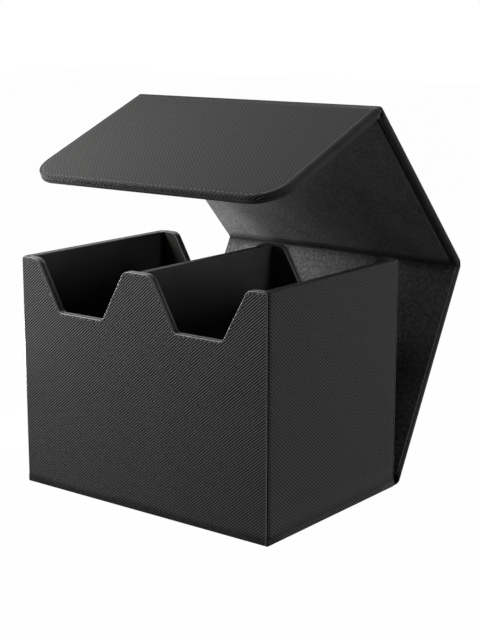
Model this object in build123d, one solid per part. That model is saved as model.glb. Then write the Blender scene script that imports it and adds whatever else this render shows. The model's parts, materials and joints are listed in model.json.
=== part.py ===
from build123d import *
import os
from math import sqrt

os.makedirs("parts", exist_ok=True)

# Driving dimensions of the case, in millimetres
CASE_W = 186.0
CASE_D = 131.0
CASE_H = 142.0
SKIN = 0.8
WALL_BOARD = 3.4
LINING = 0.8
SEAM = 0.4
FIT = 0.3

# Notches in the front and rear walls
NOTCH_X = 44.5
NOTCH_BOTTOM_HALF = 17.0
NOTCH_TOP_HALF = 34.5
NOTCH_DEPTH = 31.0
SHOULDER_R = 6.0
NOTCH_R = 3.5

# Seams of the case
CORNER_INSET = 0.8
CORNER_R = 2.0
BASE_TURN_UP = 4.4
SEAM_LINE = 0.2
PAD_T = 1.2

# Lid panels: leatherette over board, with an inset lining, and the room that the closed lid leaves
LID_MARGIN = 0.1
LID_BOARD = 3.2
LID_LINING = 1.2
REAR_GAP = 2.4
TOP_GAP = 1.6
FRONT_GAP = 2.0
TURN_IN = 4.6
LINING_GROOVE = 0.5
EDGE_R = 2.2

# Front flap
FLAP_REACH = 112.7
FLAP_CORNER_R = 21.0
FLAP_LINING = 2.3
FLAP_EDGE_R = 2.0
FLAP_GROOVE_R = 0.6

# Folds of the leatherette, and how far each stands open
LID_W = CASE_W - 2 * LID_MARGIN
LID_T = SKIN + LID_BOARD + LID_LINING
FOLD_R = LID_T / 2
FOLD_END = 0.8
TONGUE_T = 0.6
TONGUE_L = 12.0
STRIP_R = 1.3
STRIP_W = 4.0
REAR_LEAN = 28.6
TOP_BEND = 72.0
FLAP_BEND = 69.0

# Closing magnets and the steel plates that they meet
MAGNET_R = 7.0
MAGNET_T = 1.6
PLATE_R = 8.0
PLATE_T = 1.0
MAGNET_X = 58.0
MAGNET_FROM_EDGE = 20.0

# Levels and faces that follow from the sizes above
WALL = SKIN + WALL_BOARD + LINING
HALF_W, HALF_D = CASE_W / 2, CASE_D / 2
BOARD_X = HALF_W - SKIN - WALL_BOARD
INNER_X, INNER_Y = HALF_W - WALL, HALF_D - WALL
FLOOR_Z = SKIN + WALL_BOARD
BOARD_TOP = CASE_H - SKIN
TURN_OVER = (WALL - SEAM) / 2

# Outer planes of the closed lid, and the lengths between its fold lines
REAR_PLANE = HALF_D + REAR_GAP + LID_T
TOP_PLANE = CASE_H + TOP_GAP + LID_T
FRONT_PLANE = HALF_D + FRONT_GAP + LID_T
CORNER = STRIP_R + STRIP_W / sqrt(2)
AXIS_Y = REAR_PLANE - FOLD_R
REAR_L = TOP_PLANE - CORNER - FOLD_R
TOP_L = REAR_PLANE - CORNER + FRONT_PLANE - FOLD_R
FLAP_L = FLAP_REACH - FOLD_R
STRIP_Y = FOLD_R - STRIP_R


def block(x, y, z):
    """A box between the two limits given along each axis."""
    size = [max(a) - min(a) for a in (x, y, z)]
    return Pos(*[sum(a) / 2 for a in (x, y, z)]) * Box(*size)


def mirror_x(shape):
    return mirror(shape, Plane.YZ)


def rim_face(inset):
    """Everything under the notched rim, drawn in X and Z, with the rim lowered by the inset."""
    far = 2 * CASE_W
    corners, notch_low, notch_high = [(-far, -far), (far, -far), (far, CASE_H)], [], []
    for side in (1, -1):
        top = [(side * NOTCH_X + s * NOTCH_TOP_HALF, CASE_H) for s in (1, -1)]
        low = [(side * NOTCH_X + s * NOTCH_BOTTOM_HALF, CASE_H - NOTCH_DEPTH) for s in (1, -1)]
        corners += [top[0], low[0], low[1], top[1]]
        notch_high += top
        notch_low += low
    face = make_face(Polyline(*corners, (-far, CASE_H), close=True))
    for points, radius in ((notch_high, SHOULDER_R), (notch_low, NOTCH_R)):
        picked = [v for v in face.vertices() if any(abs(v.X - x) + abs(v.Y - z) < 0.01 for x, z in points)]
        face = fillet(picked, radius)
    return offset(face, -inset) if inset else face


def wall_plate(face, half_width, low, y):
    """A plate of a wall: the face cut to a width and a lower edge, between two depths."""
    area = face & Pos(0, (low + CASE_H) / 2) * Rectangle(2 * half_width, CASE_H - low)
    plate = extrude(Plane.XZ * area, amount=y[1] - y[0], dir=(0, 1, 0))
    return Pos(0, y[0], 0) * plate


# End walls: a front wall is made, and the rear wall is the same turned about
rim, rim_under = rim_face(0), rim_face(SKIN)
rim_band = rim - rim_under
face_y = (-HALF_D, -HALF_D + SKIN)
board_y = (face_y[1], face_y[1] + WALL_BOARD)
lining_y = (board_y[1], board_y[1] + LINING)
outer_turn = (face_y[1], face_y[0] + TURN_OVER)
inner_turn = (lining_y[1] - TURN_OVER, board_y[1])

end_board = wall_plate(rim_under, BOARD_X, FLOOR_Z, board_y)
cover_turn = wall_plate(rim_band, BOARD_X, FLOOR_Z, outer_turn)
front_cover = wall_plate(rim, HALF_W - CORNER_INSET, SKIN, face_y) + cover_turn
rear_cover = wall_plate(rim, HALF_W - CORNER_INSET, SKIN + TONGUE_T, face_y) + cover_turn
end_lining = wall_plate(rim, INNER_X, FLOOR_Z, lining_y)
end_lining += wall_plate(rim_band, BOARD_X, FLOOR_Z, inner_turn)

MAGNET_Z = TOP_PLANE - FLAP_REACH + MAGNET_FROM_EDGE
disc = Pos(MAGNET_X, board_y[0] + PLATE_T / 2, MAGNET_Z) * Rot(90, 0, 0) * Cylinder(PLATE_R, PLATE_T)
plates = disc + mirror_x(disc)

turned = Rot(0, 0, 180)
export_step(end_board - plates, "parts/front_board.step")
export_step(front_cover, "parts/front_cover.step")
export_step(end_lining, "parts/front_lining.step")
export_step(plates, "parts/front_strike_plates.step")
export_step(turned * end_board, "parts/rear_board.step")
export_step(turned * rear_cover, "parts/rear_cover.step")
export_step(turned * end_lining, "parts/rear_lining.step")

# Side walls: the cover turns round the corners under the end covers and over the top edge
side_y = HALF_D - 2 * SKIN
side_board = block((BOARD_X, HALF_W - SKIN), (-side_y, side_y), (FLOOR_Z, BOARD_TOP))
side_cover = block((HALF_W - SKIN, HALF_W), (-side_y - SKIN, side_y + SKIN), (BASE_TURN_UP + SEAM_LINE, CASE_H))
side_cover += block((HALF_W - TURN_OVER, HALF_W), (-side_y, side_y), (BOARD_TOP, CASE_H))
for end in (1, -1):
    side_cover += block((BOARD_X, HALF_W), (end * side_y, end * (side_y + SKIN)), (BASE_TURN_UP + SEAM_LINE, CASE_H))
corners = [e for e in side_cover.edges().filter_by(Axis.Z) if e.center().X > HALF_W - SEAM_LINE]
side_cover = fillet(corners, CORNER_R)
side_lining = block((INNER_X, BOARD_X), (-board_y[1], board_y[1]), (FLOOR_Z, CASE_H))
side_lining += block((BOARD_X, INNER_X + TURN_OVER), (-side_y, side_y), (BOARD_TOP, CASE_H))

for name, shape in (("board", side_board), ("cover", side_cover), ("lining", side_lining)):
    export_step(shape, f"parts/right_{name}.step")
    export_step(mirror_x(shape), f"parts/left_{name}.step")

# Base: board on a cover that turns up both sides, with the lid's fold strip held between them
half_lid = LID_W / 2
half_fold = half_lid - FOLD_END
bead = Rot(0, 90, 0) * Cylinder(FOLD_R, 2 * half_fold)
tongue = block((-half_fold, half_fold), (HALF_D - TONGUE_L, AXIS_Y), (SKIN, SKIN + TONGUE_T))
base_strip = Pos(0, AXIS_Y, FOLD_R) * bead + tongue
board_end = HALF_D - SKIN
base_board = block((-HALF_W + SKIN, HALF_W - SKIN), (-board_end, board_end), (SKIN, FLOOR_Z)) - tongue
base_rear = AXIS_Y - FOLD_R + SEAM
base_cover = block((-HALF_W, HALF_W), (-HALF_D, base_rear), (0, SKIN))
for side in (1, -1):
    base_cover += block((side * (HALF_W - SKIN), side * HALF_W), (-board_end, board_end), (0, BASE_TURN_UP))
export_step(base_board, "parts/base_board.step")
export_step(base_cover, "parts/base_cover.step")
export_step(base_strip, "parts/base_fold_strip.step")

# Divider between the rows, and the pad on each row's floor
half_core = WALL_BOARD / 2
half_div = half_core + LINING
inside_y = (-INNER_Y, INNER_Y)
divider_lining = block((half_core, half_div), inside_y, (FLOOR_Z, BOARD_TOP))
pad_y = INNER_Y - FIT
floor_pad = block((half_div + FIT, INNER_X - FIT), (-pad_y, pad_y), (FLOOR_Z, FLOOR_Z + PAD_T))
export_step(block((-half_core, half_core), inside_y, (FLOOR_Z, BOARD_TOP)), "parts/divider_board.step")
export_step(block((-half_div, half_div), inside_y, (BOARD_TOP, CASE_H)), "parts/divider_cap.step")
export_step(divider_lining, "parts/divider_right_lining.step")
export_step(mirror_x(divider_lining), "parts/divider_left_lining.step")
export_step(floor_pad, "parts/right_floor_pad.step")
export_step(mirror_x(floor_pad), "parts/left_floor_pad.step")

# Lid panels are made upright in their own frame, outer face towards +Y, middle of the thickness at Y = 0
outer_y = FOLD_R
core_y = (outer_y - SKIN - LID_BOARD, outer_y - SKIN)
turn_y = core_y[0] - SKIN


def fold_room(y, z, radius):
    """The space that a fold line takes: round on the outside, square on the lining's side."""
    reach = radius + FIT
    square = block((-LID_W, LID_W), (y - 2 * LID_T, y), (z - reach, z + reach))
    return Pos(0, y, z) * Rot(0, 90, 0) * Cylinder(reach, 2 * LID_W) + square


def panel(length, room, core_room):
    """Board, rolled cover and lining of a panel of that length, cut for its folds."""
    outline = Pos(0, (outer_y + turn_y) / 2) * RectangleRounded(LID_W, outer_y - turn_y, EDGE_R)
    core = block((-half_lid + SKIN, half_lid - SKIN), core_y, (0, length))
    core = core & extrude(offset(outline, -SKIN), amount=length)
    window = block((-half_lid + TURN_IN, half_lid - TURN_IN), (turn_y, core_y[0]), (0, length))
    cover = extrude(outline, amount=length) - core - window - room
    inset = half_lid - TURN_IN - LINING_GROOVE
    lining = block((-inset, inset), (-FOLD_R, core_y[0]), (0, length)) - room
    return core - core_room, cover, lining


# The top fold is a strip of its own between two fold lines, one at each panel's edge
rear_at = Pos(0, AXIS_Y, FOLD_R) * Rot(-REAR_LEAN, 0, 0)
strip_at = rear_at * Pos(0, STRIP_Y, REAR_L) * Rot(TOP_BEND / 2, 0, 0)
top_at = strip_at * Pos(0, 0, STRIP_W) * Rot(TOP_BEND / 2, 0, 0) * Pos(0, -STRIP_Y, 0)
flap_at = top_at * Pos(0, 0, TOP_L) * Rot(FLAP_BEND, 0, 0)

roll = Rot(0, 90, 0) * Cylinder(STRIP_R, 2 * half_fold)
web = block((-half_fold, half_fold), (-STRIP_R, STRIP_R), (0, STRIP_W))
export_step(strip_at * (roll + web + Pos(0, 0, STRIP_W) * roll), "parts/top_fold_strip.step")

# The flap's fold strip is a roll with a tongue that is glued under the top panel's cover
half_tongue = half_lid - SKIN - EDGE_R
flap_tongue_y = (outer_y - SKIN - TONGUE_T, outer_y - SKIN)
flap_strip = Pos(0, 0, TOP_L) * bead
flap_strip += block((-half_tongue, half_tongue), flap_tongue_y, (TOP_L - TONGUE_L, TOP_L))
export_step(top_at * flap_strip, "parts/flap_fold_strip.step")

rear_room = fold_room(0, 0, FOLD_R) + fold_room(STRIP_Y, REAR_L, STRIP_R)
top_room = fold_room(STRIP_Y, 0, STRIP_R) + fold_room(0, TOP_L, FOLD_R)
panels = (("rear", REAR_L, rear_room, rear_room, rear_at), ("top", TOP_L, top_room, top_room + flap_strip, top_at))
for name, length, room, core_room, place in panels:
    core, cover, lining = panel(length, room, core_room)
    export_step(place * core, f"parts/{name}_panel_board.step")
    export_step(place * cover, f"parts/{name}_panel_cover.step")
    export_step(place * lining, f"parts/{name}_panel_lining.step")

# Front flap: a cover layer over its board and magnets, on a lining layer, both with rounded free corners
layer_y = FLAP_LINING - FOLD_R


def flap_layer(inset, y):
    """A plate of the flap's outline, inset all round, between two depths."""
    half, top, radius = half_lid - inset, FLAP_L - inset, FLAP_CORNER_R - inset
    area = make_face(Polyline((-half, 0), (half, 0), (half, top), (-half, top), close=True))
    area = fillet(area.vertices().sort_by(Axis.Y)[2:], radius)
    return Pos(0, y[0], 0) * extrude(Plane.XZ * area, amount=y[1] - y[0], dir=(0, 1, 0))


def round_edges(shape, y, radius):
    """Round the edges of the outline that lie at one depth, leaving the fold's end."""
    edges = [e for e in shape.edges() if abs(e.center().Y - y) < 0.01 and e.center().Z > FOLD_R]
    return fillet(edges, radius)


flap_room = fold_room(0, 0, FOLD_R)
flap_core = flap_layer(SKIN, (layer_y, outer_y - SKIN))
flap_cover = round_edges(flap_layer(0, (layer_y, outer_y)), outer_y, FLAP_EDGE_R)
flap_cover = round_edges(flap_cover, layer_y, FLAP_GROOVE_R)
flap_lining = round_edges(flap_layer(0, (-FOLD_R, layer_y)), layer_y, FLAP_GROOVE_R)
flap_lining = round_edges(flap_lining, -FOLD_R, FLAP_GROOVE_R)
magnet = Pos(MAGNET_X, layer_y + MAGNET_T / 2, FLAP_L - MAGNET_FROM_EDGE) * Rot(90, 0, 0)
magnet = magnet * Cylinder(MAGNET_R, MAGNET_T)
magnets = magnet + mirror_x(magnet)
export_step(flap_at * (flap_core - flap_room - magnets), "parts/flap_board.step")
export_step(flap_at * (flap_cover - flap_core - flap_room), "parts/flap_cover.step")
export_step(flap_at * (flap_lining - flap_room), "parts/flap_lining.step")
export_step(flap_at * magnets, "parts/flap_magnets.step")
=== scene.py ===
import json
from math import atan2, ceil, cos, pi, radians, sin, tan

import bpy
import numpy as np
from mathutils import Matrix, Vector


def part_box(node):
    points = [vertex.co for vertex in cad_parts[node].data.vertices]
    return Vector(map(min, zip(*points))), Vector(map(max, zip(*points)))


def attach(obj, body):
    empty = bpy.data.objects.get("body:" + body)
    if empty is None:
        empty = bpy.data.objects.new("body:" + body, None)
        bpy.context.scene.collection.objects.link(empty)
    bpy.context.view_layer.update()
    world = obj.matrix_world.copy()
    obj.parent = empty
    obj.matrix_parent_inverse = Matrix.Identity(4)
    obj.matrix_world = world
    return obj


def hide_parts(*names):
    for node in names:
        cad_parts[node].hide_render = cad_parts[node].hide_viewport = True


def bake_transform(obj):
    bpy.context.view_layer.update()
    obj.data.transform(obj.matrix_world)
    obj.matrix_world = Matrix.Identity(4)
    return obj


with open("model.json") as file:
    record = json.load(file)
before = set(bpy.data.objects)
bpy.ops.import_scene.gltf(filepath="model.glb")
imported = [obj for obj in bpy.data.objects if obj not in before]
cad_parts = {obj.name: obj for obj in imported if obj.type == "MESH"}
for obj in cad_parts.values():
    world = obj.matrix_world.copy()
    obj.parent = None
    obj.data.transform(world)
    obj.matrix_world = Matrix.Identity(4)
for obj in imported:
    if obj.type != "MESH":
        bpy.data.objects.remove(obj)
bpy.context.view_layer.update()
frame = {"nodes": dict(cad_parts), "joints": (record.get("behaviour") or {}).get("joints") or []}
nodes = frame["nodes"]

# Stiffeners: each wall and lid panel is a sheet of solid board, pulp pressed hard and die-cut.
# The skins are glued over them, so only a cut edge shows, deep in a seam; the board is coloured near black as
# painted shade of the seam.


class Wire:
    """A shader socket that Python arithmetic works on: each operator adds one Math node."""

    def __init__(self, finish, socket):
        self.finish = finish
        self.socket = socket

    def maths(self, operation, *values):
        return self.finish.node("ShaderNodeMath", {"operation": operation}, dict(enumerate(values)))

    def __add__(self, other):
        return self.maths("ADD", self, other)

    def __radd__(self, other):
        return self.maths("ADD", other, self)

    def __sub__(self, other):
        return self.maths("SUBTRACT", self, other)

    def __rsub__(self, other):
        return self.maths("SUBTRACT", other, self)

    def __mul__(self, other):
        return self.maths("MULTIPLY", self, other)

    def sine(self):
        return self.maths("SINE", self)

    def step(self, low, high):
        """A smooth step from 0 at the low value to 1 at the high one."""
        sockets = {"Value": self, "From Min": low, "From Max": high}
        return self.finish.node("ShaderNodeMapRange", {"interpolation_type": "SMOOTHSTEP"}, sockets)

    def also(self, output):
        """Another output of the same node."""
        return Wire(self.finish, self.socket.node.outputs[output])


class Finish:
    """The nodes of a material or of the studio's surround, with one method that makes each node."""

    def __init__(self, owner):
        owner.use_nodes = True
        self.owner, self.tree = owner, owner.node_tree

    def feed(self, node, sockets):
        for key, value in sockets.items():
            if isinstance(value, Wire):
                self.tree.links.new(value.socket, node.inputs[key])
            else:
                node.inputs[key].default_value = value

    def node(self, kind, settings, sockets, output=0):
        made = self.tree.nodes.new(kind)
        for key, value in settings.items():
            setattr(made, key, value)
        self.feed(made, sockets)
        return Wire(self, made.outputs[output])

    def place(self):
        """Where a point lies on the piece, in metres along its own axes."""
        return self.node("ShaderNodeTexCoord", {}, {}, "Object")

    def noise(self, per_metre, detail):
        sockets = {"Vector": self.place(), "Scale": per_metre, "Detail": detail}
        return self.node("ShaderNodeTexNoise", {}, sockets)

    def weave(self):
        """The two directions of the piece's own unrolled map, in repeats of its weave."""
        unrolled = self.node("ShaderNodeUVMap", {"uv_map": "weave"}, {})
        across = self.node("ShaderNodeSeparateXYZ", {}, {0: unrolled})
        return across, across.also(1)

    def rise(self):
        """Height over the underside of the case."""
        return self.node("ShaderNodeSeparateXYZ", {}, {0: self.place()}, 2)

    def tint(self, amount, low, high):
        """A colour between two others, by an amount from 0 to 1."""
        sockets = {0: amount, 6: (*low, 1.0), 7: (*high, 1.0)}
        return self.node("ShaderNodeMix", {"data_type": "RGBA"}, sockets, 2)

    def bump(self, height, depth):
        return self.node("ShaderNodeBump", {}, {"Height": height, "Distance": depth})

    def surface(self, sockets):
        self.feed(self.tree.nodes["Principled BSDF"], sockets)
        return self.owner


def pressed_board():
    """Board pulp with paler flecks, matt, coloured near black as painted shade: only its cut edges show, deep
    in the seams, and it also colours the crease wedges.
    """
    made = Finish(bpy.data.materials.new("pressed_greyboard"))
    flecks = made.noise(900.0, 4.0)
    return made.surface({
        "Base Color": made.tint(flecks.step(0.3, 0.75), (0.008, 0.008, 0.0075), (0.020, 0.0195, 0.019)),
        "Roughness": 0.92,
        "Specular IOR Level": 0.15,
        "Normal": made.bump(flecks, 0.0001),
    })


def dress(material, *names):
    for name in names:
        for slot in nodes[name].material_slots:
            slot.material = material


# Board colour: near black, painted shade for the seams and the creases.
board_and_crease_shade = pressed_board()
dress(board_and_crease_shade, *[name for name in nodes if name.endswith("_board")])

# Base wrap: one sheet of plain leatherette under the case, turned up both side walls about 4 mm.
# It is glued to the base board and runs on at the rear into the lid's first fold.
MM = 0.001
SKIN, SKIN_SHOWN = 0.8 * MM, 0.55 * MM
base_low, base_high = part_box("base_cover")
HALF_W, HALF_D, TURN_UP = base_high.x, -base_low.y, base_high.z
BASE_EDGE_R, BASE_STEP, BASE_ROWS = 0.5 * MM, 20 * MM, 9
SIDE_TWILL = (-2.506 * MM, 2.096 * MM)
TAU, MERGE_DIGITS, LEVEL_WITHIN = 2 * pi, 7, 1e-9
JOINTS = {joint["name"]: joint for joint in frame["joints"]}
BASE_FOLD = np.array(JOINTS["rear_panel_fold"]["pos_m"])


class Face:
    """A flat side seen from outside: a runs right, v runs up, and d runs in from the surface."""

    def __init__(self, origin, right, up):
        self.origin, self.right, self.up = (np.array(w, float) for w in (origin, right, up))
        self.out = np.cross(self.right, self.up)

    def __call__(self, a, v, d):
        a, v, d = (w[..., None] for w in np.broadcast_arrays(a, v, d))
        return self.origin + a * self.right + v * self.up - d * self.out


def rounded_path(corners, radii, step, turns=6):
    """Straight runs joined by arcs that touch both, as points, with the side left of the
    travel at each."""
    corners = np.array(corners, float)
    heads = np.diff(corners, axis=0)
    heads /= np.linalg.norm(heads, axis=1)[:, None]
    points, sides, start = [corners[:1]], [[[-heads[0][1], heads[0][0]]]], corners[0]
    for corner, radius, head, after in zip(corners[1:-1], radii, heads, heads[1:]):
        turn = atan2(head[0] * after[1] - head[1] * after[0], head @ after)
        side = np.array([-head[1], head[0]])
        end = corner - head * radius * tan(abs(turn) / 2)
        count = max(1, ceil(np.linalg.norm(end - start) / step))
        run = start + (end - start) * np.linspace(0, 1, count + 1)[1:-1, None]
        angle = np.linspace(0, turn, turns + 1)[:, None]
        turned = np.cos(angle) * side + np.sin(angle) * np.array([-side[1], side[0]])
        bend = np.sign(turn) * radius
        arc = end + bend * side - bend * turned
        points += [run, arc]
        sides += [np.tile(side, (len(run), 1)), turned]
        start = arc[-1]
    count = max(1, ceil(np.linalg.norm(corners[-1] - start) / step))
    last = start + (corners[-1] - start) * np.linspace(0, 1, count + 1)[1:, None]
    side = np.array([-heads[-1][1], heads[-1][0]])
    points = np.concatenate(points + [last])
    sides = np.concatenate(sides + [np.tile(side, (len(last), 1))])
    moved = np.append(True, np.linalg.norm(np.diff(points, axis=0), axis=1) > 10.0**-MERGE_DIGITS)
    return points[moved], sides[moved]


def run_length(points):
    """Length along a path from its first point to each of the others."""
    return np.append(0, np.cumsum(np.linalg.norm(np.diff(points, axis=0), axis=1)))


def carried(face, section, start, end, rows=2):
    """A section of points (a, height) carried up a face from v = start to v = end, and its
    unrolled (u, v)."""
    a, height = section.T
    start, end = (np.broadcast_to(w, len(a))[:, None] for w in (start, end))
    v = start + np.linspace(0, 1, rows) * (end - start)
    u = run_length(section) - run_length(section)[-1] / 2
    return face(a[:, None], v, -height[:, None]), np.stack(np.broadcast_arrays(u[:, None], v), -1)


def placed(name, data):
    """A new object with that data, in the scene."""
    made = bpy.data.objects.new(name, data)
    bpy.context.scene.collection.objects.link(made)
    return made


def piece(name, body, materials, *sheets, repeat=(1.0, 1.0), thickness=0.0, sharp=40, blend=None):
    """A mesh from sheets (points, unrolled map, finish): shared edges are merged, and a skin
    thickens inwards."""
    points, coords, quads, owner, start = [], [], [], [], 0
    for grid, uv, *finish in sheets:
        n, m = grid.shape[:2]
        index = start + np.arange(n * m).reshape(n, m)
        corners = index[:-1, :-1], index[1:, :-1], index[1:, 1:], index[:-1, 1:]
        quads.append(np.stack(corners, -1).reshape(-1, 4))
        owner.append(np.full(len(quads[-1]), finish[0] if finish else 0))
        points.append(grid.reshape(-1, 3))
        coords.append(np.broadcast_to(uv, (n, m, 2)).reshape(-1, 2))
        start += n * m
    points, coords, quads, owner = (np.concatenate(w) for w in (points, coords, quads, owner))
    _, first, same = np.unique(points.round(MERGE_DIGITS), axis=0, return_index=True, return_inverse=True)
    faces = same.reshape(-1)[quads]
    keep = faces != np.roll(faces, 1, axis=1)
    whole = keep.sum(1) > 2
    faces, quads, keep, owner = faces[whole], quads[whole], keep[whole], owner[whole]
    loops = np.split(faces[keep], np.cumsum(keep.sum(1))[:-1])
    mesh = bpy.data.meshes.new(name)
    mesh.from_pydata(points[first], [], [w.tolist() for w in loops])
    layer = mesh.uv_layers.new(name="weave")
    layer.data.foreach_set("uv", (coords[quads[keep]] / np.array(repeat)).astype(np.float32).ravel())
    mesh.polygons.foreach_set("material_index", owner.astype(np.int32))
    mesh.shade_smooth()
    mesh.set_sharp_from_angle(angle=radians(sharp))
    for material in materials:
        mesh.materials.append(material)
    made = placed(name, mesh)
    if thickness:
        skin = made.modifiers.new("thickness", "SOLIDIFY")
        skin.thickness, skin.offset = thickness, -1.0
    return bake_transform(made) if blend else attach(made, body)


def plain_leatherette():
    """Smooth coated leatherette: a fine pebble grain, slightly uneven gloss."""
    made = Finish(bpy.data.materials.new("plain_leatherette"))
    grain = made.noise(2600.0, 3.0)
    cloud = made.noise(70.0, 3.0)
    return made.surface({
        "Base Color": made.tint(cloud.step(0.3, 0.7), (0.020, 0.020, 0.020), (0.027, 0.027, 0.0265)),
        "Roughness": 0.42 + grain * 0.2,
        "Specular IOR Level": 0.04,
        "Normal": made.bump(grain, 0.00005),
    })


FLAT_TONE, THREADS, WARP_RELIEF, WEFT_RELIEF = 0.33, 4, 0.08, 0.05
VALLEY_TINT, RIB_TINT = np.array([1.0, 0.985, 0.965]), np.array([1.0, 0.99, 0.975])


def twill_leatherette(name, valley, rib, emboss, broken, flank, low_tone=1.0, full_height=1.0):
    """Embossed twill, one repeat per unit of the weave map: slanted ribs broken into floats by
    the counter slant. The rib and valley tones are painted highlight and painted shade of the
    emboss, set for the light on each copy's own faces, and the colour is shifted by the flank
    against the relief, so that the paler flank paints the highlight on the side the light comes
    from. Its two tones may lie closer together at the floor, by a share that grows to the
    whole at the full height: painted fall-off of the raking highlight towards the bottom."""
    made = Finish(bpy.data.materials.new(name))
    u, v = made.weave()
    slant, raised = ((u - v) * TAU).sine(), ((u - v - flank) * TAU).sine()
    counter = 1 - broken * 0.5 + ((u + v) * TAU).sine() * (broken * 0.5)
    floats, ridge = slant.step(-0.5, 0.8) * counter, raised.step(-1.0, 1.0) * counter
    # Near the floor the two tones close up: painted fall-off of the light's highlight towards the bottom.
    if low_tone < 1.0:
        share = low_tone + made.rise() * ((1 - low_tone) / full_height)
        floats = FLAT_TONE + (floats - FLAT_TONE) * share
    warp, weft = (u * (THREADS * TAU)).sine(), (v * (THREADS * TAU)).sine()
    height = ridge + warp * ridge * WARP_RELIEF + weft * (1 - ridge) * WEFT_RELIEF
    cloud = made.noise(45.0, 3.0)
    return made.surface({
        # Base colour: the rib and valley tones are painted highlight and painted shade of the emboss.
        "Base Color": made.tint(floats * (0.9 + cloud * 0.2), valley * VALLEY_TINT, rib * RIB_TINT),
        "Roughness": 0.6 - floats * 0.12,
        "Specular IOR Level": 0.03,
        "Normal": made.bump(height, emboss),
    })


def by_finish(section):
    """A section in three parts: its flat has the first finish, and the turns at both sides
    have the second."""
    level = np.flatnonzero(section[:, 1] > -LEVEL_WITHIN)
    return (section[:level[0] + 1], 1), (section[level[0]:level[-1] + 1], 0), (section[level[-1]:], 1)


leatherette = plain_leatherette()
side_twill = twill_leatherette("side_twill", 0.026, 0.066, 0.00008, 0.5, 0.25)
underside = Face((0, 0, 0), (1, 0, 0), (0, -1, 0))
base_section, _ = rounded_path(
    [(-HALF_W, -TURN_UP), (-HALF_W, 0), (HALF_W, 0), (HALF_W, -TURN_UP)], [BASE_EDGE_R] * 2, BASE_STEP)
tail_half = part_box("base_fold_strip")[1].x
tail = np.array([(-tail_half, 0), (tail_half, 0)])
base_sheets = [carried(underside, tail, -BASE_FOLD[1], SKIN - HALF_D)]
for (section, finish), side in zip(by_finish(base_section), (-1.0, 1.0, 1.0)):
    grid, uv = carried(underside, section, SKIN - HALF_D, HALF_D - SKIN, BASE_ROWS)
    base_sheets.append((grid, grid[..., 1:] * (side, 1.0) if finish else uv, finish))
base_wrap = piece(
    "base_wrap", "case", [leatherette, side_twill], *base_sheets, repeat=SIDE_TWILL, thickness=SKIN_SHOWN)
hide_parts("base_cover")

# End walls: the front and rear are faced with leatherette that is embossed with a fine slanted twill.
# The facing is cut to the notched rim, rolled over its edges and sewn round close to the edge.
front_low, front_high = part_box("front_cover")
FRONT_HALF, WALL_LOW, WALL_TOP = front_high.x, front_low.z, front_high.z
RIM_GAP, RIM_STEP = 0.2 * MM, 4 * MM
TURN_OVER = front_high.y - front_low.y - RIM_GAP
BOARD_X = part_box("front_board")[1].x
NOTCH_X, NOTCH_BOTTOM, NOTCH_TOP, NOTCH_DEPTH = 44.5 * MM, 17 * MM, 34.5 * MM, 31 * MM
SHOULDER_R, NOTCH_R, PANEL_CORNER_R = 6 * MM, 3.5 * MM, 1.9 * MM
EDGE_ROLL, LIP_ROLL, FLAT_LEAD = 0.6 * MM, 0.2 * MM, 0.1 * MM
STITCH_INSET, CHANNEL_HALF, CHANNEL_DEPTH = 1.3 * MM, 0.45 * MM, 0.1 * MM
END_TWILL = (2.12 * MM, 1.754 * MM)
QUARTER = np.linspace(0, pi / 2, 5)
CHANNEL_ACROSS, CHANNEL_DOWN = np.linspace(-1, 1, 5), np.array([0, 0, 0.7, 1, 0.7, 0])


def notched_rim(half, corner_r):
    """The rim of an end wall from left to right, with a wide notch over each row; its ends
    turn down round a corner, if that has a radius."""
    turned = [corner_r] if corner_r else []
    corners, radii = [(-half, WALL_TOP - r) for r in turned] + [(-half, WALL_TOP)], turned[:]
    for middle in (-NOTCH_X, NOTCH_X):
        for across, down, radius in (
            (-NOTCH_TOP, 0, SHOULDER_R), (-NOTCH_BOTTOM, NOTCH_DEPTH, NOTCH_R),
            (NOTCH_BOTTOM, NOTCH_DEPTH, NOTCH_R), (NOTCH_TOP, 0, SHOULDER_R),
        ):
            corners.append((middle + across, WALL_TOP - down))
            radii.append(radius)
    corners += [(half, WALL_TOP)] + [(half, WALL_TOP - r) for r in turned]
    return rounded_path(corners, radii + turned, RIM_STEP)


def sewn_channel(inset, half, depth):
    """The lead-in (out, down) to a sewn edge: flat, then a shallow channel that the stitches
    pull down."""
    out = np.append(-half - FLAT_LEAD, half * CHANNEL_ACROSS) - inset
    return out, np.reshape(depth, (-1, 1)) * CHANNEL_DOWN


def edge_roll(lead, radius, depth, lip):
    """Rows (out, down) of a rolled edge at each border point: a lead-in, a quarter round, a
    flat and a small lip."""
    radius, depth = (np.reshape(w, (-1, 1)) for w in (radius, depth))
    rows = [
        lead,
        (radius * np.sin(QUARTER) - radius, radius - radius * np.cos(QUARTER)),
        (lip * np.cos(QUARTER) - lip, depth - lip + lip * np.sin(QUARTER)),
        (np.array([-lip - SKIN]), depth),
    ]
    count = max(len(np.atleast_2d(w)) for row in rows for w in row)
    shapes = [(count, row[0].shape[-1]) for row in rows]
    ways = ([np.broadcast_to(row[k], shape) for row, shape in zip(rows, shapes)] for k in (0, 1))
    return [np.concatenate(way, 1) for way in ways]


def border_of(rim, sides, low, inset, rows, ends):
    """Columns (a, v) under the inset rim, and the border with its outward sides: the rim
    alone, or also up the left edge before it and down the right edge after it."""
    top = rim - sides * inset
    share = np.linspace(0, 1, rows)
    grid = np.stack(np.broadcast_arrays(top[:, :1], low + (top[:, 1:] - low) * share), -1)
    if not ends:
        return grid, top, sides
    border = np.concatenate([grid[0], grid[1:, -1], grid[-1, -2::-1]])
    left, right = np.tile([-1.0, 0.0], (rows - 1, 1)), np.tile([1.0, 0.0], (rows - 1, 1))
    return grid, border, np.concatenate([left, sides, right])


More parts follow.
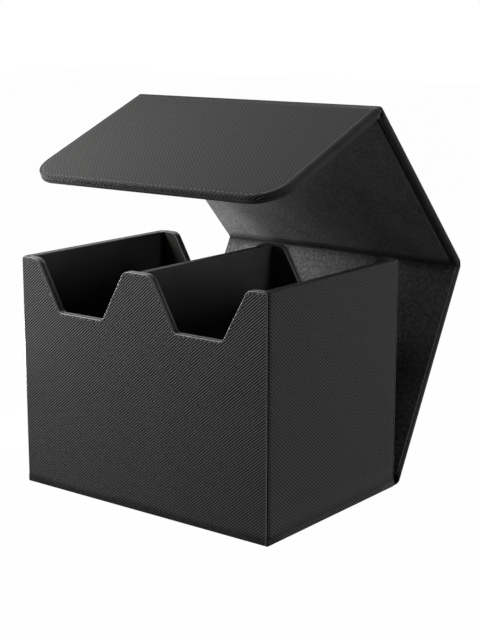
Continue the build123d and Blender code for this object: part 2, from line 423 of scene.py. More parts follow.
def wrapped(face, rim, sides, low, inset, roll, rows=24, ends=True, start=None):
    """A facing under a rim: a flat grid of columns, and the edge roll(border) carried round its border.
    start(d) holds the roll's lower end back with depth."""
    grid, border, away = border_of(rim, sides, low, inset, rows, ends)
    out, down = roll(border)
    swept = border[:, None, :] + away[:, None, :] * (out + inset)[..., None]
    down = np.broadcast_to(down, swept.shape[:2])
    v = swept[..., 1] if start is None else np.maximum(swept[..., 1], start(down))
    steps = np.hypot(np.diff(np.broadcast_to(out, down.shape)), np.diff(down))
    along = np.concatenate([np.zeros((len(border), 1)), np.cumsum(steps, axis=1)], axis=1)
    unrolled = border[:, None, :] + away[:, None, :] * along[..., None]
    return (face(grid[..., 0], grid[..., 1], 0.0), grid), (face(swept[..., 0], v, down), unrolled)


def part(sheet, finish, across=slice(None), along=slice(None), lean=1.0):
    """A part of a sheet with a finish of its own; a lean of -1 turns its weave the other way."""
    grid, uv = sheet
    return grid[along, across], uv[along, across] * (lean, 1.0), finish


STITCH_PITCH, STITCH_LENGTH, THREAD_R = 3.12 * MM, 2.0 * MM, 0.3 * MM
STITCH_RINGS, STITCH_SIDES = 5, 6
STITCH_TAPER, STITCH_RISE, STITCH_ARCH = 0.75, 0.6, 1.3


def sewing_thread():
    """Bonded polyester thread: grey strands twisted together, a little shine."""
    made = Finish(bpy.data.materials.new("sewing_thread"))
    u, v = made.weave()
    twist = ((u * 5.0 + v * 2.0) * TAU).sine()
    return made.surface({
        "Base Color": made.tint(twist.step(-1.0, 1.0), (0.05, 0.05, 0.05), (0.15, 0.15, 0.147)),
        "Roughness": 0.5,
        "Specular IOR Level": 0.3,
        "Normal": made.bump(twist, 0.00004),
    })


thread = sewing_thread()


def stitches(name, body, face, path, sides, depth):
    """A row of stitches along a path on a face: each a short strand that tapers and arches
    with the square of its reach, out of one hole and into the next."""
    length = run_length(path)
    count = int(length[-1] // STITCH_PITCH)
    middle = (np.arange(count) + 0.5) * length[-1] / count
    at = np.stack([np.interp(middle, length, path[:, k]) for k in (0, 1)], 1)
    side = np.stack([np.interp(middle, length, sides[:, k]) for k in (0, 1)], 1)
    side /= np.linalg.norm(side, axis=1)[:, None]
    centre = face(at[:, 0], at[:, 1], depth)
    across = side[:, :1] * face.right + side[:, 1:] * face.up
    along = side[:, 1:] * face.right - side[:, :1] * face.up
    reach, turn = np.meshgrid(
        np.linspace(-1, 1, STITCH_RINGS), np.linspace(0, TAU, STITCH_SIDES + 1)[:-1], indexing="ij")
    girth = THREAD_R * np.sqrt(1 - STITCH_TAPER * reach**2)
    lift = THREAD_R * (STITCH_RISE - STITCH_ARCH * reach**2)
    local = np.stack([reach * STITCH_LENGTH / 2, girth * np.cos(turn), girth * np.sin(turn) + lift], -1)
    local = local.reshape(-1, 3)
    axes = np.stack([along, across, np.broadcast_to(face.out, along.shape)], 1)
    points = (centre[:, None, :] + np.einsum("pk,nkc->npc", local, axes)).reshape(-1, 3)
    ring = np.arange(len(local)).reshape(STITCH_RINGS, STITCH_SIDES)
    after = np.roll(ring, -1, axis=1)
    tube = np.stack([ring[:-1], ring[1:], after[1:], after[:-1]], -1).reshape(-1, 4)[:, ::-1]
    shift = np.arange(count)[:, None, None] * len(local)
    caps = np.stack([ring[0], ring[-1][::-1]])[:, ::-1]
    faces = (tube + shift).reshape(-1, 4).tolist() + (caps + shift).reshape(-1, STITCH_SIDES).tolist()
    mesh = bpy.data.meshes.new(name)
    mesh.from_pydata(points, [], faces)
    spin = np.stack([reach, turn / TAU], -1).reshape(-1, 2)
    corner = np.zeros(len(mesh.loops), np.int32)
    mesh.loops.foreach_get("vertex_index", corner)
    layer = mesh.uv_layers.new(name="weave")
    layer.data.foreach_set("uv", spin[corner % len(local)].astype(np.float32).ravel())
    mesh.shade_smooth()
    mesh.materials.append(thread)
    made = placed(name, mesh)
    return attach(made, body)


def edge_leatherette():
    """The same leatherette stretched over an edge, the emboss rubbed flat and glossier there; its paler
    colour is a painted highlight along the edge.
    """
    made = Finish(bpy.data.materials.new("edge_leatherette"))
    grain = made.noise(1800.0, 3.0)
    return made.surface({
        "Base Color": made.tint(grain.step(0.3, 0.7), (0.048, 0.0475, 0.047), (0.064, 0.063, 0.062)),
        "Roughness": 0.36 + grain * 0.12,
        "Specular IOR Level": 0.3,
        "Normal": made.bump(grain, 0.00004),
    })


# The end facings' rib contrast fades towards the floor as painted fall-off of the key light's highlight.
end_twill = twill_leatherette(
    "end_twill", 0.002, 0.1, 0.00002, 0.06, -0.25, low_tone=0.53, full_height=97 * MM)
# Edge rolls and top edges: their paler colour is a painted highlight.
rubbed_edge_highlight = edge_leatherette()
rim, rim_sides = notched_rim(FRONT_HALF, PANEL_CORNER_R)
FACING_INSET = STITCH_INSET + CHANNEL_HALF + FLAT_LEAD
SEWN_ROWS, RIM_BAND = 6, NOTCH_DEPTH + 3 * SKIN


def facing_roll(border):
    """Along the rim the facing is sewn and turns right over the wall; at the corners it only
    covers its own edge."""
    on_rim = (np.abs(border[:, 0]) < BOARD_X) & (border[:, 1] > WALL_TOP - RIM_BAND)
    channel = sewn_channel(STITCH_INSET, CHANNEL_HALF, CHANNEL_DEPTH * on_rim)
    return edge_roll(channel, EDGE_ROLL, SKIN + (TURN_OVER - SKIN) * on_rim, LIP_ROLL)


END_FACES = {
    "front": Face((0, -HALF_D, 0), (1, 0, 0), (0, 0, 1)),
    "rear": Face((0, HALF_D, 0), (-1, 0, 0), (0, 0, 1)),
}
for end, face in END_FACES.items():
    flat, edge = wrapped(face, rim, rim_sides, WALL_LOW, FACING_INSET, facing_roll)
    # Past the sewn rows, the roll over the rim and the corners carries the painted edge highlight.
    facing = piece(
        f"{end}_facing", "case", [end_twill, rubbed_edge_highlight], part(flat, 0),
        part(edge, 0, slice(SEWN_ROWS + 1)), part(edge, 1, slice(SEWN_ROWS, None)),
        repeat=END_TWILL, thickness=SKIN_SHOWN)
    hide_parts(f"{end}_cover")
    _, seam, seam_sides = border_of(rim, rim_sides, WALL_LOW, STITCH_INSET, 2, False)
    stitches(f"{end}_stitches", "case", face, seam, seam_sides, CHANNEL_DEPTH)

# Side walls: one sheet of the same twill leatherette on each side, with a slightly larger repeat.
# It turns round both corners under the end facings, and over the top edge as far as a narrow seam.
side_low, side_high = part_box("right_cover")
UNDER_FACING, CORNER_R, SIDE_REACH, SIDE_STEP, SIDE_ROWS = 0.6 * MM, 2.2 * MM, 1.7 * MM, 5 * MM, 12
SIDE_END, SIDE_LOW, SIDE_RETURN = side_high.y - UNDER_FACING, side_low.z, HALF_W - side_low.x
SIDE_FACES = {
    "right": Face((HALF_W, 0, 0), (0, 1, 0), (0, 0, 1)),
    "left": Face((-HALF_W, 0, 0), (0, -1, 0), (0, 0, 1)),
}
side_plan, side_out = rounded_path(
    [(-SIDE_END, -SIDE_RETURN), (-SIDE_END, 0), (SIDE_END, 0), (SIDE_END, -SIDE_RETURN)],
    [CORNER_R] * 2, SIDE_STEP)
PLAIN_INSET = EDGE_ROLL + FLAT_LEAD
plain_lead = np.array([-PLAIN_INSET]), np.zeros(1)
side_roll = edge_roll(plain_lead, EDGE_ROLL, SIDE_REACH, LIP_ROLL)
# Top edges of the walls: front, rear and left carry the painted edge highlight; the right one keeps the plain
# darker leatherette.
TOP_EDGES = {"front": rubbed_edge_highlight, "rear": rubbed_edge_highlight, "left": rubbed_edge_highlight, "right": leatherette}


def side_skin(face):
    """The plan of the side, turned round both corners, carried up to the top and rolled inwards there."""
    out, down = side_roll
    climb = np.linspace(SIDE_LOW, WALL_TOP - PLAIN_INSET, SIDE_ROWS)
    v = np.append(climb, WALL_TOP + out[0, 1:])
    inward = np.append(0 * climb, down[0, 1:])
    a = side_plan[:, :1] - side_out[:, :1] * inward
    height = side_plan[:, 1:] - side_out[:, 1:] * inward
    u = run_length(side_plan) - run_length(side_plan)[-1] / 2
    rise = run_length(np.stack([inward, v], 1)) + SIDE_LOW
    return face(a, np.broadcast_to(v, a.shape), -height), np.stack(np.meshgrid(u, rise, indexing="ij"), -1)


for side, face in SIDE_FACES.items():
    skin = side_skin(face)
    skin = piece(
        f"{side}_skin", "case", [side_twill, TOP_EDGES[side]], part(skin, 0, slice(SIDE_ROWS + 1)),
        part(skin, 1, slice(SIDE_ROWS, None)), repeat=SIDE_TWILL, thickness=SKIN_SHOWN)
    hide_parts(f"{side}_cover")

# Linings: smooth black leatherette glued inside all four walls, bound with leatherette along the rim.
# The seam between the binding and the outer skin is a narrow groove along every wall's top edge.
LINING_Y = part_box("front_lining")[1].y
LINING_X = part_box("right_lining")[0].x
LINING_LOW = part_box("front_lining")[0].z
LINING_LAP, SIDE_LINING_REACH, LINING_COLUMNS, LINING_ROWS = 1.4 * MM, 2.3 * MM, 26, 10
LINING_HALF = BOARD_X + LINING_LAP


def satin_lining():
    """Smooth black coated lining: almost no grain, a soft satin gloss."""
    made = Finish(bpy.data.materials.new("black_satin_lining"))
    grain = made.noise(1500.0, 2.0)
    cloud = made.noise(30.0, 2.0)
    return made.surface({
        "Base Color": made.tint(cloud.step(0.3, 0.7), (0.0085, 0.0083, 0.0076), (0.0120, 0.0118, 0.0108)),
        "Roughness": 0.36 + cloud * 0.12,
        "Specular IOR Level": 0.25,
        "Normal": made.bump(grain, 0.00003),
    })


lining = satin_lining()
lining_rim, lining_sides = notched_rim(LINING_HALF, 0.0)
side_rim = np.stack([np.linspace(LINING_Y, -LINING_Y, LINING_COLUMNS), np.full(LINING_COLUMNS, WALL_TOP)], 1)
rim_up = np.tile([0.0, 1.0], (LINING_COLUMNS, 1))
LININGS = {
    "front": (Face((0, LINING_Y, 0), (-1, 0, 0), (0, 0, 1)), lining_rim, lining_sides, TURN_OVER),
    "rear": (Face((0, -LINING_Y, 0), (1, 0, 0), (0, 0, 1)), lining_rim, lining_sides, TURN_OVER),
    "right": (Face((LINING_X, 0, 0), (0, -1, 0), (0, 0, 1)), side_rim, rim_up, SIDE_LINING_REACH),
    "left": (Face((-LINING_X, 0, 0), (0, 1, 0), (0, 0, 1)), side_rim, rim_up, SIDE_LINING_REACH),
}
for wall, (face, top, sides, reach) in LININGS.items():
    turned = edge_roll(plain_lead, EDGE_ROLL, reach, LIP_ROLL)
    flat, edge = wrapped(
        face, top, sides, LINING_LOW, PLAIN_INSET, lambda border: turned, rows=LINING_ROWS, ends=False)
    inside = piece(
        f"{wall}_inside", "case", [lining, TOP_EDGES[wall]], part(flat, 0), part(edge, 1), repeat=END_TWILL,
        thickness=SKIN_SHOWN)
    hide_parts(f"{wall}_lining")

# Divider: a board between the rows with the black lining on both faces.
# A strip of twill leatherette caps its top edge from the front wall to the rear one.
cap_low, cap_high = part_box("divider_cap")
CAP_EDGE_R, CAP_STEP, CAP_ROWS = 0.7 * MM, 1 * MM, 40
dress(lining, "divider_left_lining", "divider_right_lining")
cap_face = Face((0, 0, cap_high.z), (1, 0, 0), (0, 1, 0))
cap_drop = cap_low.z - cap_high.z
cap_section, _ = rounded_path(
    [(cap_low.x, cap_drop), (cap_low.x, 0), (cap_high.x, 0), (cap_high.x, cap_drop)],
    [CAP_EDGE_R] * 2, CAP_STEP)
cap = piece(
    "divider_edge", "case", [end_twill], carried(cap_face, cap_section, cap_low.y, cap_high.y, CAP_ROWS),
    repeat=END_TWILL, thickness=SKIN_SHOWN)
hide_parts("divider_cap")

# Floor pads: a thin foam-backed pad of the black lining lies in each row, so that nothing rattles.
# It is cut a little small and its edges are pressed down to the board.
PAD_BOW, PAD_POINTS = 10, 33


def slab(top, bottom, uv=(0.0, 0.0)):
    """A closed solid between two grids of one size: both faces, and the four edges between
    their borders."""
    uv = np.broadcast_to(uv, (*top.shape[:2], 2))
    i, j = (w // 2 for w in top.shape[:2])
    facing = np.cross(top[i, j] - top[i - 1, j], top[i, j] - top[i, j - 1]) @ (top[i, j] - bottom[i, j])
    if facing < 0:
        top, bottom, uv = top[::-1], bottom[::-1], uv[::-1]
    edges = (
        np.stack([bottom[:, 0], top[:, 0]], 1), np.stack([top[:, -1], bottom[:, -1]], 1),
        np.stack([top[0], bottom[0]], 1), np.stack([bottom[-1], top[-1]], 1))
    return (top, uv), (bottom[::-1], uv[::-1]), *[(edge, (0.0, 0.0)) for edge in edges]


def floor_pad(low, high):
    """Height of a power curve across both ways: level in the middle, rounded down to the
    floor at the edges."""
    bend = np.sin(np.linspace(-pi / 2, pi / 2, PAD_POINTS))
    x, y = np.meshgrid(bend, bend, indexing="ij")
    crown = np.sqrt(np.clip((1 - x**PAD_BOW) * (1 - y**PAD_BOW), 0, 1))
    middle, half = (np.array(high) + low) / 2, (np.array(high) - low) / 2
    flat = np.stack([middle[0] + half[0] * x, middle[1] + half[1] * y, np.full(x.shape, low[2])], -1)
    return slab(flat + np.stack([0 * x, 0 * x, crown * (high[2] - low[2])], -1), flat)


for side in ("left", "right"):
    low, high = (np.array(w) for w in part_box(f"{side}_floor_pad"))
    pad = piece(f"{side}_pad", "case", [lining], *floor_pad(low, high), sharp=60)
    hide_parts(f"{side}_floor_pad")

# Closing magnets: nickel-plated discs lie in the flap's board, under its cover.
# Bare steel discs lie in the front wall's board, where the magnets come down.


def disc_metal(name, colour, rough):
    """Plain metal with a faint rolled haze."""
    made = Finish(bpy.data.materials.new(name))
    haze = made.noise(1200.0, 3.0)
    return made.surface({
        "Base Color": made.tint(haze.step(0.3, 0.7), tuple(w * 0.8 for w in colour), colour),
        "Metallic": 1.0,
        "Roughness": rough + haze * 0.12,
    })


dress(disc_metal("steel_plate", (0.45, 0.45, 0.46), 0.32), "front_strike_plates")
dress(disc_metal("nickel_plate", (0.62, 0.62, 0.62), 0.15), "flap_magnets")

# Rear and top panels: leatherette over board, twill on the flat and plain where it rolls round the
# side edges. A suede lining is glued inside and sewn near its edges, and the turned-in edge leaves
# a narrow groove beside it.
HALF_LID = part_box("rear_panel_cover")[1].x
FOLD_R, STRIP_R = BASE_FOLD[2], 1.3 * MM
LID_T = 2 * FOLD_R
ROLL_R, ROLL_DEPTH, TURN_IN = 2.2 * MM, 4.8 * MM, 2.8 * MM
LINING_EDGE_R, LINING_DROP = 0.5 * MM, 1.0 * MM
LID_STITCH_IN, LID_STITCH_DEPTH, LID_STITCH_END = 5.9 * MM, 0.15 * MM, 2 * MM
OVERHANG, END_GAP = 0.38 * MM, 0.12 * MM
PANEL_STEP, WRAP_ROWS, SUEDE_ROWS = 6 * MM, 30, 24
REAR_INSETS, TOP_INSETS = (1.1 * MM, 1.1 * MM), (1.5 * MM, 5.1 * MM)
ROUND_CUT, STRIP_CUT = (FOLD_R, 1.16), (STRIP_R, 0.42)
LID_TWILL = (-2.55 * MM, 2.45 * MM)
LEAN, BEND, FLAP_BEND = -JOINTS["rear_panel_fold"]["range_deg"][0], *[
    JOINTS[name]["range_deg"][1] for name in ("top_fold_lower_line", "flap_fold")]
LOWER_LINE, UPPER_LINE, FLAP_FOLD = (
    np.array(JOINTS[name]["pos_m"]) for name in ("top_fold_lower_line", "top_fold_upper_line", "flap_fold"))
REAR_TURN, STRIP_TURN, TOP_TURN, FLAP_TURN = (
    radians(w) for w in (-LEAN, BEND - LEAN, 2 * BEND - LEAN, 2 * BEND - LEAN + FLAP_BEND))


def outward(turn):
    return np.array([0.0, cos(turn), sin(turn)])


def upward(turn):
    return np.array([0.0, -sin(turn), cos(turn)])


def suede(name, nap_low, nap_high, rough, gloss):
    """Microfibre suede: tufts of nap in soft darker and lighter patches, with the gloss of nap
    that is brushed more or less flat."""
    made = Finish(bpy.data.materials.new(name))
    brushed, tuft, nap = made.noise(38.0, 4.0), made.noise(520.0, 4.0), made.noise(1500.0, 3.0)
    tone = brushed.step(0.3, 0.72) * 0.3 + tuft.step(0.36, 0.66) * 0.45 + nap.step(0.3, 0.7) * 0.25
    return made.surface({
        "Base Color": made.tint(tone, (nap_low,) * 3, (nap_high,) * 3),
        "Roughness": rough,
        "Specular IOR Level": gloss,
        "Normal": made.bump(nap + tuft * 1.4, 0.0002),
    })


lid_twill = twill_leatherette("lid_twill", 0.0345, 0.0390, 0.00004, 0.1, 0.25)
brushed_suede = suede("brushed_suede", 0.024, 0.090, 0.5, 0.22)
napped_suede = suede("napped_suede", 0.012, 0.095, 0.7, 0.13)


def cut_back(cut, depth):
    """How far a panel's end stands back from its fold line at a depth, so that it clears the
    next panel: a gap, and a slope below the line."""
    line, slope = cut
    return END_GAP + np.maximum(depth - line, 0.0) * slope


def lid_panel(name, axis, turn, line_height, length, low_cut, high_cut, insets, sewn, suede_finish):
    """The wrap's section, rolled at both sides, and the lining's, carried up the panel between
    its fold lines."""
    outer = Face(axis + (FOLD_R - line_height) * outward(turn), (-1, 0, 0), upward(turn))
    inner = Face(outer.origin - LID_T * outward(turn), (1, 0, 0), upward(turn))
    section, _ = rounded_path(
        [(-HALF_LID + TURN_IN, -ROLL_DEPTH), (-HALF_LID, -ROLL_DEPTH), (-HALF_LID, 0),
         (HALF_LID, 0), (HALF_LID, -ROLL_DEPTH), (HALF_LID - TURN_IN, -ROLL_DEPTH)], [ROLL_R] * 4, PANEL_STEP)
    sheets = []
    for run, finish in by_finish(section):
        low, high = cut_back(low_cut, -run[:, 1]), length - cut_back(high_cut, -run[:, 1])
        sheets.append((*carried(outer, run, low, high, WRAP_ROWS), finish))
    cover = piece(
        f"{name}_wrap", name, [lid_twill, leatherette], *sheets, repeat=LID_TWILL, thickness=SKIN_SHOWN)
    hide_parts(f"{name}_cover")
    left, right = insets[0] - HALF_LID, HALF_LID - insets[1]
    edge, _ = rounded_path(
        [(left, -LINING_DROP), (left, 0), (right, 0), (right, -LINING_DROP)], [LINING_EDGE_R] * 2, PANEL_STEP)
    low, high = cut_back(low_cut, LID_T) - OVERHANG, length - cut_back(high_cut, LID_T) + OVERHANG
    inside = piece(
        f"{name}_suede", name, [suede_finish], carried(inner, edge, low, high, SUEDE_ROWS),
        thickness=SKIN_SHOWN)
    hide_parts(f"{name}_lining")
    for side, sign in sewn.items():
        across = sign * (HALF_LID - LID_STITCH_IN)
        path = np.array([(across, low + LID_STITCH_END), (across, high - LID_STITCH_END)])
        sides = np.tile([sign, 0.0], (2, 1))
        stitches(f"{name}_{side}_stitches", name, inner, path, sides, LID_STITCH_DEPTH)
    return outer


REAR_L, TOP_L = (LOWER_LINE - BASE_FOLD) @ upward(REAR_TURN), (FLAP_FOLD - UPPER_LINE) @ upward(TOP_TURN)
rear_outer = lid_panel(
    "rear_panel", BASE_FOLD, REAR_TURN, 0.0, REAR_L, ROUND_CUT, STRIP_CUT,
    REAR_INSETS, {"left": -1.0, "right": 1.0}, napped_suede)
top_outer = lid_panel(
    "top_panel", UPPER_LINE, TOP_TURN, FOLD_R - STRIP_R, TOP_L, STRIP_CUT, ROUND_CUT,
    TOP_INSETS, {"right": 1.0}, brushed_suede)

# Lid folds: the wrap bends along lines between the stiff panels, with no board under it there.
# The base fold and the flap fold are single rounds, and the fold at the top rear is a strip with
# a line at each edge.
FOLD_T, STRIP_T, FOLD_POINTS, FOLD_STEPS = 2.3 * MM, 1.15 * MM, 7, 13


def roll_half(depth):
    """Half the lid's width at a depth: full at mid thickness, less where the side edges roll over."""
    below = np.clip(np.abs(depth - np.clip(depth, ROLL_R, ROLL_DEPTH - ROLL_R)), 0, ROLL_R)
    return HALF_LID - ROLL_R + np.sqrt(ROLL_R**2 - below**2)


def bent_skin(axis, radius, thick, turns, lead):
    """A skin bent round an axis from one panel's slope to the next, its ends rolled as the
    panels' edges are. A lead runs on flat after the bend, or before it where it is negative."""
    swing = np.linspace(1, 0, FOLD_POINTS) ** 2 * thick
    x = np.concatenate([roll_half(swing), -roll_half(swing[::-1])])
    depth = np.concatenate([swing, swing[::-1]])
    turn = np.linspace(turns[0], turns[1], FOLD_STEPS)
    flat, run = 0 * turn, (turn - turns[0]) * radius
    if lead:
        at, end = (len(turn), -1) if lead > 0 else (0, 0)
        turn, run = np.insert(turn, at, turn[end]), np.insert(run, at, run[end] + lead)
        flat = np.insert(flat, at, lead)
    out = np.stack([0 * turn, np.cos(turn), np.sin(turn)], -1)
    along = np.stack([0 * turn, -np.sin(turn), np.cos(turn)], -1)

    def layer(level):
        grid = axis + level[:, None, None] * out + flat[:, None] * along
        return grid + x[:, None, None] * np.array([1.0, 0.0, 0.0])

    uv = np.stack(np.meshgrid(-x, run, indexing="ij"), -1)
    return slab(layer(radius - depth), layer(np.full(len(x), radius - thick)), uv)


strip_flat = np.linalg.norm(UPPER_LINE - LOWER_LINE) / 2
FOLDS = {
    "base_fold": (BASE_FOLD, (-pi / 2, REAR_TURN), 0.0, "case", "rear_panel"),
    "top_fold_lower": (LOWER_LINE, (REAR_TURN, STRIP_TURN), strip_flat, "rear_panel", "top_fold"),
    "top_fold_upper": (UPPER_LINE, (STRIP_TURN, TOP_TURN), -strip_flat, "top_fold", "top_panel"),
    "flap_fold": (FLAP_FOLD, (TOP_TURN, FLAP_TURN), 0.0, "top_panel", "front_flap"),
}
for name, (axis, turns, lead, before, after) in FOLDS.items():
    radius, thick = (STRIP_R, STRIP_T) if lead else (FOLD_R, FOLD_T)
    ends = [axis + radius * outward(turn) for turn in turns]
    bend = piece(
        f"{name}_skin", None, [leatherette], *bent_skin(axis, radius, thick, turns, lead),
        repeat=LID_TWILL, blend=(before, after, *ends))
    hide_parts("top_fold_strip" if "top" in name else f"{name}_strip")

# Front flap: the same twill leatherette on a backing layer of suede, with a twill binding round its
# free edge. Its free corners are round, a groove runs between the layers, and a row of stitches
# runs inside the edge.
FLAP_CORNER_R, CORNER_TURNS, CORNER_SHARE, SEWN_SHARE = 21 * MM, 20, 0.75, 0.3
FLAP_UPPER, FLAP_LIP, FLAP_INSET = 2.8 * MM, 0.5 * MM, 5.0 * MM
SIDE_SEAM, FREE_SEAM, SEAM_HALF, SEAM_DEPTH = 3.9 * MM, 1.7 * MM, 0.35 * MM, 0.12 * MM
SIDE_SHOULDER, FREE_SHOULDER, SIDE_SEAM_HALF = 2.4 * MM, 0.7 * MM, 0.15 * MM
FLAP_ROWS, FLAP_LEAD_ROWS, PLAIN_TURNS = 24, 4, 13
flap_mesh = nodes["flap_cover"].data
spots = np.zeros(3 * len(flap_mesh.vertices))
flap_mesh.vertices.foreach_get("co", spots)
FLAP_L = ((spots.reshape(-1, 3) - FLAP_FOLD) @ upward(FLAP_TURN)).max()
CORNER_FROM = FLAP_L - FLAP_CORNER_R
flap_rim, flap_sides = rounded_path(
    [(-HALF_LID, CORNER_FROM), (-HALF_LID, FLAP_L), (HALF_LID, FLAP_L), (HALF_LID, CORNER_FROM)],
    [FLAP_CORNER_R] * 2, RIM_STEP, CORNER_TURNS)
flap_outer = Face(FLAP_FOLD + FOLD_R * outward(FLAP_TURN), (-1, 0, 0), upward(FLAP_TURN))
flap_inner = Face(flap_outer.origin - LID_T * outward(FLAP_TURN), (1, 0, 0), upward(FLAP_TURN))


def flap_roll(border):
    """The seam runs well inside the straight sides, over a wide shoulder, and close to the free
    edge, with a smooth step from one to the other along the corner."""
    rise = np.clip((border[:, 1:] - CORNER_FROM) / (CORNER_SHARE * FLAP_CORNER_R), 0, 1)
    free = rise * rise * (3 - 2 * rise)
    seam, half, shoulder = (side + (end - side) * free for side, end in (
        (SIDE_SEAM, FREE_SEAM), (SIDE_SEAM_HALF, SEAM_HALF), (SIDE_SHOULDER, FREE_SHOULDER)))
    out = np.concatenate([0 * seam - FLAP_INSET, -seam - half, -seam, -seam + half], 1)
    down = free * SEAM_DEPTH * np.array([0, 0, 1, 0])
    return edge_roll((out, down), shoulder, FLAP_UPPER, FLAP_LIP)


binding_twill = twill_leatherette("binding_twill", 0.008, 0.084, 0.0002, 0.15, 0.25)
backing_twill = twill_leatherette("backing_twill", 0.008, 0.050, 0.00015, 0.15, 0.25)
flat, edge = wrapped(
    flap_outer, flap_rim, flap_sides, 0.0, FLAP_INSET, flap_roll, FLAP_ROWS,
    start=lambda d: cut_back(ROUND_CUT, d))
first, last = FLAP_ROWS - 1 + PLAIN_TURNS, FLAP_ROWS - 2 + len(flap_rim) - PLAIN_TURNS
free, straight = slice(first, last + 1), (slice(0, first + 1), slice(last, None))
field, seam, shoulder = slice(2), slice(1, FLAP_LEAD_ROWS), slice(FLAP_LEAD_ROWS - 1, None)
# On the straight sides the seam rows carry the painted edge highlight, a thin light line beside the shoulder.
flap_wrap = piece(
    "flap_wrap", "front_flap", [lid_twill, leatherette, binding_twill, rubbed_edge_highlight],
    part(flat, 0), part(edge, 0, field), part(edge, 0, seam, free), part(edge, 2, shoulder, free, -1.0),
    *[part(edge, 3, seam, w) for w in straight], *[part(edge, 1, shoulder, w) for w in straight],
    repeat=LID_TWILL, thickness=SKIN_SHOWN)
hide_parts("flap_cover")
backing_roll = edge_roll((np.array([-FLAP_INSET]), np.zeros(1)), FLAP_LIP, LID_T - FLAP_UPPER, FLAP_LIP)
flat, edge = wrapped(
    flap_inner, flap_rim, flap_sides, cut_back(ROUND_CUT, LID_T), FLAP_INSET, lambda border: backing_roll)
flap_suede = piece(
    "flap_suede", "front_flap", [napped_suede, leatherette, backing_twill],
    part(flat, 0), part(edge, 2, along=free), *[part(edge, 1, along=w) for w in straight],
    repeat=LID_TWILL, thickness=SKIN_SHOWN)
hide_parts("flap_lining")
_, flap_seam, flap_seam_sides = border_of(flap_rim, flap_sides, 0.0, FREE_SEAM, 2, False)
sewn = flap_seam[:, 1] > FLAP_L - FREE_SEAM - SEWN_SHARE * FLAP_CORNER_R
stitches("flap_stitches", "front_flap", flap_outer, flap_seam[sewn], flap_seam_sides[sewn], SEAM_DEPTH)

# Creases: inside the folds at the top rear and at the flap, a soft dark wedge sags between the
# panels' ends, as painted shade of the crease.
CREASE_INSET, CREASE_OFF, TURN_HALF, CREASE_POINTS = 0.8 * MM, 0.1 * MM, 0.4 * MM, 25
TOP_SAG, FLAP_SAG = 2.4 * MM, 1.8 * MM


def panel_end(face, fold_v, sign, cut):
    """Two points on a panel's end, just off its cut face: at the lining's level and at its fold line."""
    depth = np.array([LID_T - LINING_EDGE_R, cut[0] + CREASE_OFF])
    return face(0 * depth, fold_v + sign * (cut_back(cut, depth) - CREASE_OFF), depth)


def crease_middle(at, turn, sag):
    """Two points in a crease's middle plane: as deep as the lining sags, and close under the fold's skin."""
    return at - np.array([[sag], [CREASE_OFF]]) * outward(turn)


def crease(name, axis, before, after, *stations):
    """A soft wedge of painted shade through stations of two points, one in the lining's sag and
    one against the fold's skin."""
    stations = np.array(stations)
    x = np.linspace(-1, 1, CREASE_POINTS)[:, None, None] * np.array([HALF_LID - CREASE_INSET, 0.0, 0.0])
    ends = stations[[0, -1], 0] - axis
    before_axis, after_axis = ends / np.linalg.norm(ends, axis=1)[:, None]
    across = (after_axis - before_axis) / np.linalg.norm(after_axis - before_axis) * TURN_HALF
    # The wedge's near-black board colour is painted shade in the crease.
    dip = piece(
        f"{name}_crease", None, [board_and_crease_shade], *slab(x + stations[:, 0], x + stations[:, 1]),
        blend=(before, after, axis - across, axis + across))


strip_middle = crease_middle((LOWER_LINE + UPPER_LINE) / 2, STRIP_TURN, TOP_SAG)
flap_middle = crease_middle(FLAP_FOLD, (TOP_TURN + FLAP_TURN) / 2, FLAP_SAG)
rear_end, top_rear_end = panel_end(rear_outer, REAR_L, -1, STRIP_CUT), panel_end(top_outer, 0.0, 1, STRIP_CUT)
top_end, flap_end = panel_end(top_outer, TOP_L, -1, ROUND_CUT), panel_end(flap_outer, 0.0, 1, ROUND_CUT)
crease("lower", LOWER_LINE, "rear_panel", "top_fold", rear_end, strip_middle)
crease("upper", UPPER_LINE, "top_fold", "top_panel", strip_middle, top_rear_end)
crease("flap", FLAP_FOLD, "top_panel", "front_flap", top_end, flap_middle, flap_end)

# Studio: a pale floor and a white surround that the lens and the gloss see, with soft light from
# the upper left. The camera stands to the right of the front, a little higher than the lid.
FLOOR_HALF, FLOOR_Z, FLOOR_GLOW, PAPER = 4.0, -0.2 * MM, 0.985, (0.35, 0.35, 0.35, 1.0)
CAMERA_AT, CAMERA_PITCH, CAMERA_YAW = (0.542515, -0.668061, 0.292336), 12.372, 37.854
FOCAL_PIXELS, LONG_SIDE, SENSOR = 1456.466, 640, 36.0
SEEN, WHITE, SURROUND_LIGHT = ("Camera", "Glossy", "Transmission"), (1.0, 1.0, 1.0, 1.0), 0.06


def white_where_seen(made, plain, share):
    """A shader that is plain to the light's own rays, and mostly white to the lens and in reflections."""
    rays = [made.node("ShaderNodeLightPath", {}, {}, f"Is {kind} Ray") for kind in SEEN]
    seen = rays[0].maths("MINIMUM", rays[0] + rays[1] + rays[2], 1.0)
    glow = made.node("ShaderNodeEmission", {}, {"Color": WHITE, "Strength": 1.0})
    return made.node("ShaderNodeMixShader", {}, {0: seen * share, 1: plain, 2: glow})


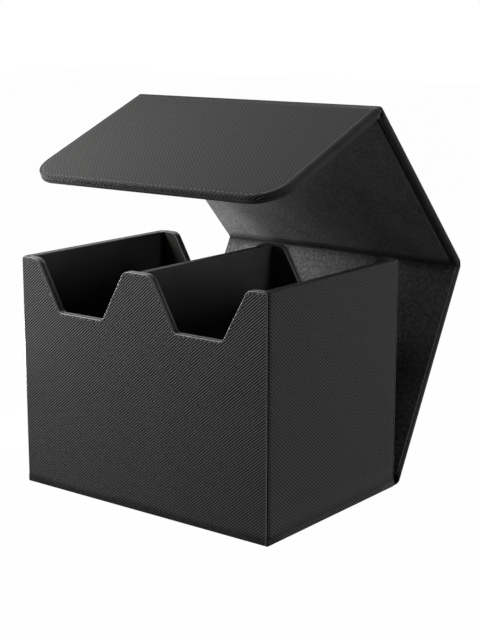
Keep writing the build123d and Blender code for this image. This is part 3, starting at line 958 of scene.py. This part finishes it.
paper = Finish(bpy.data.materials.new("backdrop_paper"))
paper.surface({"Base Color": PAPER, "Roughness": 0.9, "Specular IOR Level": 0.0})
lit = Wire(paper, paper.tree.nodes["Principled BSDF"].outputs[0])
paper.feed(paper.tree.nodes["Material Output"], {"Surface": white_where_seen(paper, lit, FLOOR_GLOW)})
floor_corners = [(x * FLOOR_HALF, y * FLOOR_HALF, FLOOR_Z) for x, y in ((-1, -1), (1, -1), (1, 1), (-1, 1))]
floor_mesh = bpy.data.meshes.new("floor")
floor_mesh.from_pydata(floor_corners, [], [(0, 1, 2, 3)])
floor_mesh.materials.append(paper.owner)
floor = placed("floor", floor_mesh)

bpy.context.scene.world = bpy.data.worlds.new("studio")
surround = Finish(bpy.context.scene.world)
dim = surround.node("ShaderNodeBackground", {}, {"Color": WHITE, "Strength": SURROUND_LIGHT})
surround.feed(surround.tree.nodes["World Output"], {"Surface": white_where_seen(surround, dim, 1.0)})


def softbox(name, at, aim, size, watts):
    """A square lamp at a place, turned to its aim."""
    lamp = bpy.data.lights.new(name, "AREA")
    lamp.shape, lamp.size, lamp.energy = "SQUARE", size, watts
    made = placed(name, lamp)
    made.location = at
    away = made.location - type(made.location)(aim)
    made.rotation_euler = away.to_track_quat("Z", "Y").to_euler()
    made.visible_camera = False


LAMPS = {
    "key": ((-0.247, -0.227, 0.338), (0.0, -0.04, 0.12), 0.1, 2.85),
    "overhead": ((0.0, 0.1, 1.1), (0.0, 0.02, 0.1), 0.6, 2.1),
    "right": ((1.1, 0.45, 0.35), (0.09, 0.0, 0.07), 0.5, 6.7),
    "left_low": ((-0.16, -0.06, 0.06), (-0.12, 0.12, 0.16), 0.04, 0.72),
    "left_far": ((-0.65, -0.085, 0.12), (0.0, 0.11, 0.16), 0.05, 2.4),
    "behind": ((-0.3, 1.2, 0.5), (0.0, 0.1, 0.12), 0.6, 9.0),
}
for name, (at, aim, size, watts) in LAMPS.items():
    softbox(name, at, aim, size, watts)

lens = bpy.data.cameras.new("camera")
lens.sensor_width, lens.lens = SENSOR, FOCAL_PIXELS / LONG_SIDE * SENSOR
lens.clip_start, lens.clip_end = 0.01, 20.0
camera = placed("camera", lens)
camera.location = CAMERA_AT
camera.rotation_euler = (radians(90 - CAMERA_PITCH), 0.0, radians(CAMERA_YAW))
bpy.context.scene.camera = camera
bpy.context.scene.view_settings.view_transform = "Standard"
